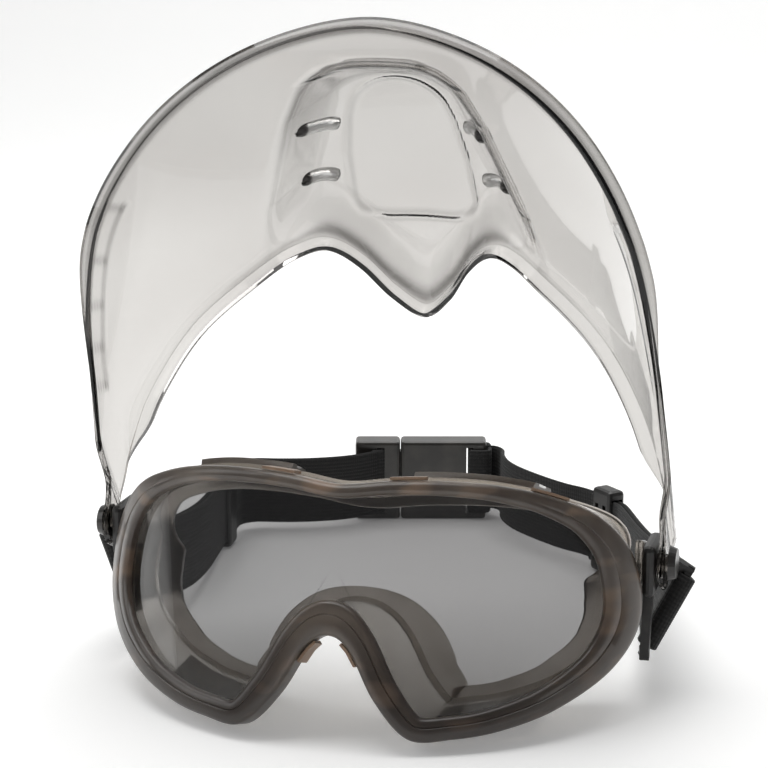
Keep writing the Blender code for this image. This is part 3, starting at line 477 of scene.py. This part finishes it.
# First and last outline point of each plate, and the shares of the body's depth where it starts and ends.
covers = {"thickness": 1.9, "slope": 0.06, "steps": (0.30, 0.62), "stepDepth": 0.7,
          "top": (4, 11, 0.10, 0.80), "bottom": (28, 35, 0.04, 0.86)}
for place in ("top", "bottom"):
    first, finish, low, high = covers[place]
    for side in ("right", "left"):
        stations = np.arange(first * 4, finish * 4 + 1)
        stations = stations if side == "right" else len(outline) - stations[::-1]
        raised = gap + covers["thickness"]
        # The plate's top has two shallow steps across it, as the louvres under it do.
        section = [bodySurface(low, gap, stations), bodySurface(low + 0.03, gap + 1.3, stations),
                   bodySurface(low + covers["slope"], raised, stations)]
        for share in covers["steps"]:
            middle = low + share * (high - low)
            section += [bodySurface(middle - 0.02, raised, stations),
                        bodySurface(middle, raised - covers["stepDepth"], stations),
                        bodySurface(middle + 0.03, raised, stations)]
        section += [bodySurface(high - covers["slope"], raised, stations),
                    bodySurface(high - 0.03, gap + 1.3, stations), bodySurface(high, gap, stations)]
        tube(f"{place}VentCover.{side}", gogglesToRoom(np.stack(section, axis=1)), coverNylon, "goggles",
             node=f"{place}_vent_cover_{side}", slot="vent_cover")
print("goggles made")


# The shield, worked out lowered about its pivot, and swung up at the end.
sheet = {
    "halfWidth": 91.3, "depth": 82.28, "power": 2 / 1.93, "wall": 2.0, "earX": 88.8, "endAngle": 94.5,
    "lip": 5.0, "chinLip": 3.4, "bendRadius": 0.9, "bumpDepth": 16.0, "bumpTop": -125.0, "bumpEdge": 15.5,
    "bumpBlend": 20.0, "bumpAngle": 33, "browRamp": 13.0, "browShare": 0.24,
    "rows": 120, "bumpColumns": 180, "sideColumns": 88,
}
# Edges of the lowered shield: degrees round from the middle, and mm above the pivot.
upperEdge = (
    (-6.1, -28.0), (0.0, -19.4), (6.1, -28.0), (11.5, -42.5), (16.7, -51.5), (22.7, -53.4), (29.0, -52.4),
    (36.5, -47.4), (48.8, -39.0), (59.5, -28.4), (65.5, -21.8), (70.5, -14.4), (74.7, -8.0),
    (78.0, -3.0), (83.0, 2.0), (86.0, 5.2), (88.7, 6.8), (92.0, 6.2), (94.5, 0.6),
)
lowerEdge = (
    (-18.0, -134.1), (0.0, -137.9), (18.0, -134.1), (34.5, -126.2), (49.5, -114.0), (63.0, -96.2),
    (72.0, -69.9), (78.0, -41.8), (82.5, -23.0), (85.5, -12.5), (88.7, -7.6), (92.0, -6.4), (94.5, -2.0),
)
# Half width of the nose bump at each height, and the ends of the slots: x and height, inner and then outer.
bumpHalf = np.array((
    (-125.0, 18.0), (-118.0, 24.0), (-105.5, 30.0), (-90.0, 35.0), (-73.0, 40.5), (-59.0, 43.5),
    (-20.0, 50.0)))
slots = ((17.6, -88.8, 28.5, -98.5), (20.2, -67.5, 30.6, -72.5))
slotCut = {"end": 1.5, "half": 1.2}
# Cells moulded along the chin edge's sides, between slanting lines that start at these heights.
steps = {"levels": (-102.0, -88.0, -74.0, -60.0, -46.0), "width": 6.5, "depth": 0.15, "slant": 0.6,
         "fromAngle": 50}
panel = {"heights": (-108.0, -92.0, -76.0, -49.0), "halves": (10.5, 15.0, 17.2, 18.2), "middle": -78.5,
         "halfHeight": 29.5, "corner": 10.5, "bead": 0.6, "beadWidth": 1.1}


def edgeHeight(table, angle):
    curve = smoothCurve(table, 12)
    return np.interp(np.abs(angle), curve[:, 0], curve[:, 1])


def planPoint(angle):
    # A superellipse in plan: the powers of sine and cosine are set by how square it is.
    sine, cosine = np.sin(np.radians(angle)), np.cos(np.radians(angle))
    x = sheet["halfWidth"] * np.sign(sine) * np.abs(sine)**sheet["power"]
    ahead = sheet["depth"] * np.sign(cosine) * np.abs(cosine)**sheet["power"] - 1.8
    way = np.stack([sine / sheet["halfWidth"], cosine / sheet["depth"]], axis=-1)
    return x, ahead, way / np.linalg.norm(way, axis=-1)[..., None]


def rampArea(value):
    # The area under a straight ramp from 0 to 1.
    return np.where(value < 0, 0, np.where(value < 1, value * value / 2, value - 0.5))


def roundedRamp(value, soft):
    # A straight ramp from 0 to 1 whose two corners are rounded over the soft share of its length.
    return (rampArea(value + soft / 2) - rampArea(value - soft / 2)) / soft


def boxDistance(across, up, halfAcross, halfUp, radius):
    # Signed distance to a rectangle with rounded corners, negative inside it.
    qx, qy = np.abs(across) - halfAcross + radius, np.abs(up) - halfUp + radius
    outside = np.hypot(np.maximum(qx, 0), np.maximum(qy, 0))
    return outside + np.minimum(np.maximum(qx, qy), 0) - radius


def cellPlace(angle, height):
    # Distance from the chin edge, and to the nearest of the lines between the step cells moulded along it.
    run = np.linspace(0, sheet["endAngle"], 190)
    x, ahead = planPoint(run)[:2]
    arc = np.concatenate([[0], np.cumsum(np.hypot(np.diff(x), np.diff(ahead)))])
    steepness = np.interp(np.abs(angle), run, np.gradient(edgeHeight(lowerEdge, run), arc))
    inward = (height - edgeHeight(lowerEdge, angle)) / np.sqrt(1 + steepness**2)
    level = height - steps["slant"] * inward
    between = np.minimum.reduce([np.abs(level - mark) for mark in steps["levels"]])
    between = between / np.sqrt(1 + 0.4 * steepness)
    inRange = (level > steps["levels"][0] - 1) & (level < steps["levels"][-1] + 1)
    return inward, between, inRange & (np.abs(angle) > steps["fromAngle"])


def panelDistance(x, height):
    half = np.interp(height, panel["heights"], panel["halves"])
    return boxDistance(x, height - panel["middle"], half, panel["halfHeight"], panel["corner"])


def intoBump(x, height):
    # How far inside the nose bump's outline a point is: the smaller of two distances, blended where they
    # differ by less than half of bumpBlend.
    fromTop = height - sheet["bumpTop"]
    fromSide = np.interp(height, bumpHalf[:, 0], bumpHalf[:, 1]) - np.abs(x)
    share = np.clip(0.5 + (fromSide - fromTop) / sheet["bumpBlend"], 0, 1)
    return fromSide * (1 - share) + fromTop * share - sheet["bumpBlend"] / 2 * share * (1 - share)


def shieldOffset(angle, x, height, upper):
    # The nose bump slopes up from its outline, and down again to the fold.
    bump = roundedRamp(intoBump(x, height) / sheet["bumpEdge"], 0.5)
    ramp = roundedRamp((upper - height) / sheet["browRamp"], 0.8)
    brow = sheet["browShare"] + (1 - sheet["browShare"]) * ramp
    joggle = smoothStep((np.abs(angle) - 81.0) / 4.0) * (sheet["halfWidth"] - sheet["earX"])
    bead = panel["bead"] * np.exp(-(panelDistance(x, height) / panel["beadWidth"])**2)
    inward, between, inRange = cellPlace(angle, height)
    fadeIn = smoothStep((height - steps["levels"][0]) / 6)
    fadeOut = 1 - smoothStep((height - steps["levels"][-1] + 14) / 12)
    cell = steps["depth"] * inRange * fadeIn * fadeOut * (1 - smoothStep((inward - steps["width"]) / 2.4))
    return sheet["bumpDepth"] * bump * brow - joggle - bead + cell


def shieldPoints(angle, height, offset):
    x, ahead, way = planPoint(angle)
    return np.stack([x + way[..., 0] * offset, -(ahead + way[..., 1] * offset), height], axis=-1)


bumpAngles = np.linspace(-sheet["bumpAngle"], sheet["bumpAngle"], sheet["bumpColumns"] + 1)
sideAngles = np.linspace(sheet["bumpAngle"], sheet["endAngle"], sheet["sideColumns"] + 1)[1:]
angle = np.concatenate([-sideAngles[::-1], bumpAngles, sideAngles])[None, :]
upper, lower = edgeHeight(upperEdge, angle), edgeHeight(lowerEdge, angle)
fade = 1 - smoothStep((np.abs(angle) - 66.0) / 10.0)
rise = np.linspace(0, 1, sheet["rows"] + 1)[:, None]
height = lower + (upper - lower) * rise
planX = planPoint(angle)[0] + 0 * height
offset = shieldOffset(angle + 0 * height, planX, height, upper + 0 * height)
# Both edges turn through a small round bend and run straight on: out at the chin, in at the fold.
bend = np.radians(np.linspace(0, 84, 5))[1:, None]
straight = np.array([[0.45], [0.75], [1.0]])
lipHeight = sheet["bendRadius"] * np.concatenate([np.sin(bend), np.sin(bend[-1:]) + 0 * straight])
lipHeight[len(bend):] += [[0.05], [0.1], [0.15]]
lipHeight = lipHeight * (0.3 + 0.7 * fade)


def lipReach(length):
    # How far each row of a turned edge stands out of the sheet: the bend's rows, then the straight run's.
    bendReach = sheet["bendRadius"] * (1 - np.cos(bend)) / length
    return (0.2 + length * fade) * np.concatenate([bendReach, straight])


chinRows = (lower - lipHeight, offset[:1] + lipReach(sheet["chinLip"]))
foldRows = (upper + lipHeight, offset[-1:] - lipReach(sheet["lip"]))
allHeight = np.vstack([chinRows[0][::-1], height, foldRows[0]])
allOffset = np.vstack([chinRows[1][::-1], offset, foldRows[1]])
middle = shieldPoints(angle + 0 * allHeight, allHeight, allOffset)
du, dv = np.gradient(middle, axis=1), np.gradient(middle, axis=0)
way = np.cross(du, dv)
way /= np.linalg.norm(way, axis=-1)[..., None] + 1e-12
rows, columns = allHeight.shape
if way[rows // 2, columns // 2, 1] > 0:
    way = -way
keep = np.ones((rows - 1, columns - 1), bool)
cellX = (planPoint(angle)[0] + 0 * allHeight)[:-1, :-1]
for innerX, innerLevel, outerX, outerLevel in slots:
    run = np.array([outerX - innerX, outerLevel - innerLevel])
    reach = np.hypot(*run)
    fromInner = np.stack([np.abs(cellX) - innerX, allHeight[:-1, :-1] - innerLevel], axis=-1)
    along, across = fromInner @ run / reach, fromInner @ np.array([-run[1], run[0]]) / reach
    between = (along > slotCut["end"]) & (along < reach - slotCut["end"])
    keep &= ~(between & (np.abs(across) < slotCut["half"]))
size = rows * columns
i, j = np.nonzero(keep)
v = [i * columns + j, (i + 1) * columns + j, (i + 1) * columns + j + 1, i * columns + j + 1]
skin = np.stack(v, axis=-1)
padded = np.pad(keep, 1)
walls = []
for a, b, (di, dj) in ((0, 1, (0, -1)), (1, 2, (1, 0)), (2, 3, (0, 1)), (3, 0, (-1, 0))):
    exposed = ~padded[i + 1 + di, j + 1 + dj]
    first, second = v[b][exposed], v[a][exposed]
    walls.append(np.stack([first, second, second + size, first + size], axis=-1))
outerSkin = (middle + way * sheet["wall"] / 2).reshape(-1, 3)
innerSkin = (middle - way * sheet["wall"] / 2).reshape(-1, 3)
shieldVerts = np.vstack([outerSkin, innerSkin])
shieldFaces = outward(shieldVerts, np.vstack([skin, skin[:, ::-1] + size] + walls))


def line(distance, width):
    # A soft line: it falls off as e to the minus of distance over width, squared.
    return np.exp(-(distance / width)**2)


# Painted shade: how much darker the sheet is painted at each point, along both bends and free edges, on the
# bump's slopes, and along the panel's bead and the cells.
paintedShadeSettings = {"chin": 0.9, "chinLip": 0.30, "freeEdge": 0.35, "fold": 0.05, "foldCrease": 0.30, "foldNose": 0.32,
         "foldLip": 0.22, "slope": 0.55, "bumpLine": 0.06, "bumpTopLine": 0.40, "panel": 0.22,
         "cellSide": 0.45, "cellCross": 0.34, "bendEnd": 1.32, "lipLength": 2.1}
lipRun = np.concatenate([sheet["bendRadius"] * bend, paintedShadeSettings["bendEnd"] + straight * paintedShadeSettings["lipLength"]])
fromChin = np.vstack([-lipRun[::-1] + 0 * angle, height - lower, 99 + 0 * foldRows[0]])
fromFold = np.vstack([99 + 0 * chinRows[0], upper - height, -lipRun + 0 * angle])
vShare = 1 - smoothStep((np.abs(angle) - 15) / 9)
creaseShare = 1 - smoothStep((np.abs(angle) - 36) / 8)
planX = planPoint(angle)[0] + 0 * allHeight
planWay = planPoint(angle)[2] + 0 * allHeight[..., None]
slope = 1 - np.abs(way[..., 0] * planWay[..., 0] - way[..., 1] * planWay[..., 1])
inside = (allHeight < upper) & (allHeight > lower)
nearTop = smoothStep((-allHeight - 78) / 34)
inward, between, inRange = cellPlace(angle + 0 * allHeight, allHeight)
paintedFoldShade = paintedShadeSettings["fold"] + paintedShadeSettings["foldCrease"] * creaseShare + paintedShadeSettings["foldNose"] * vShare
paintedBumpShade = paintedShadeSettings["bumpLine"] + paintedShadeSettings["bumpTopLine"] * nearTop
inCell = 1 - smoothStep((inward - steps["width"]) / 0.8)
paintedCellShade = (paintedShadeSettings["cellSide"] * line(inward - steps["width"], 0.9)
            + paintedShadeSettings["cellCross"] * line(between, 0.9) * inCell)
paintedShade = (paintedShadeSettings["chin"] * line(fromChin + 0.4, 1.0) + paintedShadeSettings["chinLip"] * (fromChin < -1.2)
        + paintedShadeSettings["freeEdge"] * (fromChin < -3.2))
paintedShade += paintedFoldShade * line(fromFold - 1.0 - 0.8 * vShare, 0.8 + 1.4 * vShare)
paintedShade += paintedShadeSettings["foldLip"] * (fromFold < -3.2)
paintedShade += inside * paintedShadeSettings["slope"] * smoothStep(slope / 0.45) * (0.30 + 0.70 * nearTop)
paintedShade += inside * paintedBumpShade * line(intoBump(planX, allHeight) - 0.6, 1.5)
paintedShade += inside * paintedShadeSettings["panel"] * line(panelDistance(planX, allHeight) + 0.6, 0.8)
paintedShade += inside * inRange * paintedCellShade
paintedShade = np.clip(paintedShade, 0, 1)
shieldObj = meshPiece("clearFaceShield", shieldToRoom(shieldVerts), shieldFaces, shieldSheet, "shield",
                      node="face_shield", slot="clear_shield", sharp=50)
# The painted shade goes on the points of both skins.
layer = shieldObj.data.attributes.new("paintedEdgeShade", "FLOAT", "POINT")
layer.data.foreach_set("value", np.concatenate([paintedShade.ravel(), paintedShade.ravel()]))
print("shield made:", len(shieldFaces), "faces")

# Rolled hoods stand over the four slots: a clear C-shaped curl whose stopped end is darkened with painted
# shade.
hood = {"radius": 2.7, "wall": 0.8, "stations": 23}
sweepAngle = np.radians(np.linspace(-100, 100, 17))
arc = np.stack([np.cos(sweepAngle), np.sin(sweepAngle)], -1)
curl = np.concatenate([arc * hood["radius"], (arc * (hood["radius"] - hood["wall"]))[::-1]])
for innerX, innerLevel, outerX, outerLevel in slots:
    for sign in (1, -1):
        across = np.linspace(0, 1, hood["stations"])
        place = sign * (innerX + (outerX - innerX) * across)
        levels = innerLevel + (outerLevel - innerLevel) * across
        sine = (np.abs(place) / sheet["halfWidth"])**(1 / sheet["power"])
        slotAngle = np.degrees(np.arcsin(sine)) * sign
        top = edgeHeight(upperEdge, slotAngle)
        base = shieldPoints(slotAngle, levels, shieldOffset(slotAngle, place, levels, top))
        lengthwise = np.gradient(base, axis=0)
        lengthwise /= np.linalg.norm(lengthwise, axis=-1)[:, None]
        outWay = np.array([0, 1.0, 0]) - lengthwise * lengthwise[:, 1:2]
        outWay /= np.linalg.norm(outWay, axis=-1)[:, None]
        sideWay = np.cross(lengthwise, outWay)
        shrink = np.sqrt(np.clip(1 - np.abs(2 * across - 1)**12, 0.10, 1))[:, None, None]
        section = curl[None, :, :1] * outWay[:, None] + curl[None, :, 1:] * sideWay[:, None]
        rings = base[:, None] + shrink * section
        side = "right" if sign > 0 else "left"
        piece = tube(f"ventHood.{side}{abs(innerLevel):.0f}", shieldToRoom(rings), hoodSheet, "shield",
                     slot="clear_shield")
        layer = piece.data.attributes.new("paintedEdgeShade", "FLOAT", "POINT")
        # Painted shade: darkest over the outer stopped end, and 0.6 as dark at the inner end.
        ends = np.repeat(np.clip((across - 0.82) / 0.05, 0, 1) + 0.6 * (across < 0.05), len(curl))
        layer.data.foreach_set("value", 0.95 * ends)
print("hoods made")


# The strap's webbing: two plies from the lugs to just behind the sliders, and one from there to the buckle.
strapSizes = {"width": 25.0, "thickness": 1.4, "plyGap": 0.6, "lift": 2.5, "fineness": 3, "corner": 0.45,
              "eyeRun": 5.0, "eyeWiden": 1.5, "driftRun": 10.0, "uprightBy": 0.55}
# Each side's sign, and its front and rear routes: x, depth, and how far the web's lower edge is over lift.
strapRoutes = {
    "right": (1, ((89.0, 65.0, 10.5), (85.0, 82.0, 7.5), (78.5, 108.0, 4.5), (69.0, 140.0, 1.2),
                  (60.0, 166.0, 0.2), (56.0, 173.5, 0.0), (48.0, 182.0, 0.0), (46.0, 184.0, 0.0)),
              ((46.1, 183.9, 0.0), (40.0, 189.0, 0.0), (33.0, 193.5, 0.0), (23.0, 201.5, 0.0),
               (13.0, 211.0, 0.0), (7.0, 219.0, 0.0), (3.4, 227.0, 0.0), (1.6, 234.0, 0.2),
               (-1.6, 237.2, 0.4), (-4.58, 237.20, 0.4))),
    "left": (-1, ((-89.0, 65.0, 10.5), (-85.5, 82.0, 7.5), (-83.5, 104.0, 4.0), (-84.5, 130.0, 1.5),
                  (-88.5, 158.0, 0.3), (-90.2, 168.0, 0.0), (-91.3, 181.0, 0.0), (-91.6, 184.0, 0.0)),
             ((-91.6, 183.8, 0.0), (-91.7, 190.5, 0.0), (-90.0, 194.8, 0.0), (-85.5, 198.2, 0.0),
              (-77.0, 200.0, 0.0), (-67.0, 203.0, 0.0), (-57.0, 208.0, 0.0), (-50.0, 213.5, 0.0),
              (-44.2, 220.40, 0.0))),
}


def webFrames(route, leanEnds):
    points = smoothCurve(route, 4 * strapSizes["fineness"])
    points[:, 2] += strapSizes["lift"] + strapSizes["width"] / 2
    points[:, 1] -= fit["shift"]
    way = np.gradient(points, axis=0)
    way /= np.linalg.norm(way, axis=1)[:, None]
    share = smoothStep(np.linspace(0, 1, len(points)) / strapSizes["uprightBy"])[:, None]
    width = np.asarray(leanEnds) * (1 - share) + np.array([0, 0, 1.0]) * share
    width -= way * np.sum(width * way, axis=1)[:, None]
    width /= np.linalg.norm(width, axis=1)[:, None]
    return points, width, np.cross(way, width), way


def webRings(points, width, thick):
    # The web's section: a flat strip with rounded selvedges.
    w, t, r = strapSizes["width"] / 2, strapSizes["thickness"] / 2, strapSizes["corner"]
    face = np.linspace(-1, 1, 9)
    profile = [(w - r * 0.3, t * 0.55), (w, 0.0), (w - r * 0.3, -t * 0.55)]
    profile = ([(s * (w - r), t) for s in face] + profile + [(s * (w - r), -t) for s in face[::-1]]
               + [(-p, -q) for p, q in profile])
    up, out = np.array(profile).T
    return points[:, None] + width[:, None] * up[None, :, None] + thick[:, None] * out[None, :, None]


# The web's width leans with the lugs at the front and stands upright further back. Round the lug's bar each
# ply stands eyeWiden further out, and the rear web starts in line with one of the plies.
lean = np.array((0.42, 0.33, 0.845))
lean /= np.linalg.norm(lean)
for side, (sign, frontRoute, rearRoute) in strapRoutes.items():
    points, width, thick, way = webFrames(frontRoute, lean * np.array([sign, 1, 1]))
    apart = (strapSizes["thickness"] + strapSizes["plyGap"]) / 2
    wide = smoothStep(1 - np.arange(len(points)) / (strapSizes["eyeRun"] * strapSizes["fineness"]))[:, None]
    wide = wide * strapSizes["eyeWiden"]
    turn = np.radians(np.linspace(90, 270, 17)[1:-1])[:, None]
    bendWay = np.sin(turn) * thick[0] + np.cos(turn) * way[0]
    track = np.vstack([(points + thick * (apart + wide))[::-1],
                       points[0] + (apart + strapSizes["eyeWiden"]) * bendWay,
                       points - thick * (apart + wide)])
    tilt = np.vstack([width[::-1], np.tile(width[0], (len(turn), 1)), width])
    faceWay = np.vstack([thick[::-1], bendWay, -thick])
    tube(f"frontWebbing.{side}", webRings(track, tilt, faceWay), webElastic, "strap",
         node=f"front_webbing_{side}", slot="elastic_webbing", sharp=60)
    points, width, thick, way = webFrames(rearRoute, (0, 0, 1.0))
    run = strapSizes["driftRun"] * strapSizes["fineness"]
    drift = smoothStep(1 - np.arange(len(points)) / run)[:, None]
    points = points + thick * drift * apart
    piece = tube(f"rearWebbing.{side}", webRings(points, width, thick), webElastic,
                 "strap" if side == "right" else None, node=f"rear_webbing_{side}",
                 slot="elastic_webbing", sharp=60)
    if side == "left":
        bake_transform(piece)
# Where the web goes into the buckle: through the plug's slot, and round the bar at the socket's end.
buckle = {"x": -29.5, "y": 230.5, "z": 15.25, "yaw": 14.6}
folds = {
    "plug": ((-20.5, 6.15), (-16.0, 6.1), (-14.6, 5.2), (-14.35, 2.0), (-14.35, -2.0), (-14.6, -4.9),
             (-16.6, -6.1), (-18.6, -6.1)),
    "socket": ((26.3, 1.4), (26.1, 4.6), (24.6, 6.1), (20.2, 6.1), (18.95, 5.0), (18.8, 0.0), (18.95, -5.0),
               (20.2, -6.1), (24.6, -6.1), (26.1, -4.6), (26.3, -1.0)),
}
cosine, sine = math.cos(math.radians(buckle["yaw"])), math.sin(math.radians(buckle["yaw"]))
for end, route in folds.items():
    path = smoothCurve(np.array(route), 6)
    points = np.stack([buckle["x"] + path[:, 0] * cosine - path[:, 1] * sine,
                       buckle["y"] - fit["shift"] + path[:, 0] * sine + path[:, 1] * cosine,
                       np.full(len(path), buckle["z"])], axis=-1)
    way = np.gradient(points, axis=0)
    way /= np.linalg.norm(way, axis=1)[:, None]
    width = np.tile([0, 0, 1.0], (len(points), 1))
    tube(f"webFold.{end}", webRings(points, width, np.cross(width, way)), webElastic,
         "plug" if end == "plug" else "strap", slot="elastic_webbing", sharp=60)
print("strap made")


# Paper sweep, lights and camera, in metres.
stageSizes = {"half": 3.5, "back": 1.5, "front": -5.0, "bend": 0.6, "top": 3.0}
quarter = np.linspace(0, math.pi / 2, 16)
bendStart = stageSizes["back"] - stageSizes["bend"]
sweepY = np.concatenate([[stageSizes["front"]], bendStart + stageSizes["bend"] * np.sin(quarter),
                         [stageSizes["back"]]])
sweepZ = np.concatenate([[0.0], stageSizes["bend"] * (1 - np.cos(quarter)), [stageSizes["top"]]])
sweepX = np.tile([-stageSizes["half"], stageSizes["half"]], len(sweepY))
sweepVerts = np.stack([sweepX, np.repeat(sweepY, 2), np.repeat(sweepZ, 2)], axis=-1)
sweepMesh = bpy.data.meshes.new("studioSweep")
sweepMesh.from_pydata(sweepVerts.tolist(), [], gridFaces(len(sweepY), 2)[:, ::-1].tolist())
sweepMesh.shade_smooth()
paper, tree, shader = newMaterial("whiteStudioPaper", "#f2f2f1", **{
    "Roughness": 0.9, "Emission Color": (1, 1, 1, 1), "Emission Strength": 0.22})
sweepMesh.materials.append(paper)
sweep = bpy.data.objects.new("studioSweep", sweepMesh)
bpy.context.scene.collection.objects.link(sweep)

world = bpy.data.worlds.new("studio")
bpy.context.scene.world = world
world.use_nodes = True
world.node_tree.nodes["Background"].inputs["Color"].default_value = (0.62, 0.62, 0.63, 1)
world.node_tree.nodes["Background"].inputs["Strength"].default_value = 0.34


def softbox(name, place, aim, size, power):
    light = bpy.data.lights.new(name, "AREA")
    light.shape = "RECTANGLE"
    light.size, light.size_y = size
    light.energy = power
    obj = bpy.data.objects.new(name, light)
    obj.location = place
    way = Vector(aim) - Vector(place)
    obj.rotation_euler = way.to_track_quat("-Z", "Y").to_euler()
    bpy.context.scene.collection.objects.link(obj)


softbox("topBox", (-0.15, 0.25, 1.35), (0, 0, 0.05), (1.3, 1.1), 17.0)
softbox("sideBox", (-1.3, -0.5, 0.9), (0, 0, 0.08), (0.7, 1.1), 5.0)

# The camera stands 0.7 m from the goggles' front, a little to the wearer's left and above. Its aim is moved
# across and up the view to frame the raised shield.
view = {"azimuth": 14.72, "elevation": 13.29, "distance": 0.7, "across": 0.01589, "above": 0.06001,
        "aim": (0, -0.11654, 0.04485), "lens": 113.56}
azimuth, elevation = math.radians(view["azimuth"]), math.radians(view["elevation"])
right = Vector((math.cos(azimuth), math.sin(azimuth), 0))
back = Vector((math.sin(azimuth) * math.cos(elevation), -math.cos(azimuth) * math.cos(elevation),
               math.sin(elevation)))
up = back.cross(right)
eye = right * view["across"] + up * view["above"] + back * view["distance"] + Vector(view["aim"])
camera = bpy.data.cameras.new("camera")
camera.lens = view["lens"]
camera.sensor_width = 36.0
camera.clip_end = 20.0
cameraObject = bpy.data.objects.new("camera", camera)
cameraObject.matrix_world = Matrix([[right[k], up[k], back[k], eye[k]] for k in range(3)] + [[0, 0, 0, 1]])
bpy.context.scene.collection.objects.link(cameraObject)
bpy.context.scene.camera = cameraObject
bpy.context.scene.view_settings.view_transform = "Standard"
bpy.context.scene.view_settings.exposure = 0.0
print("stage, lights and camera set")
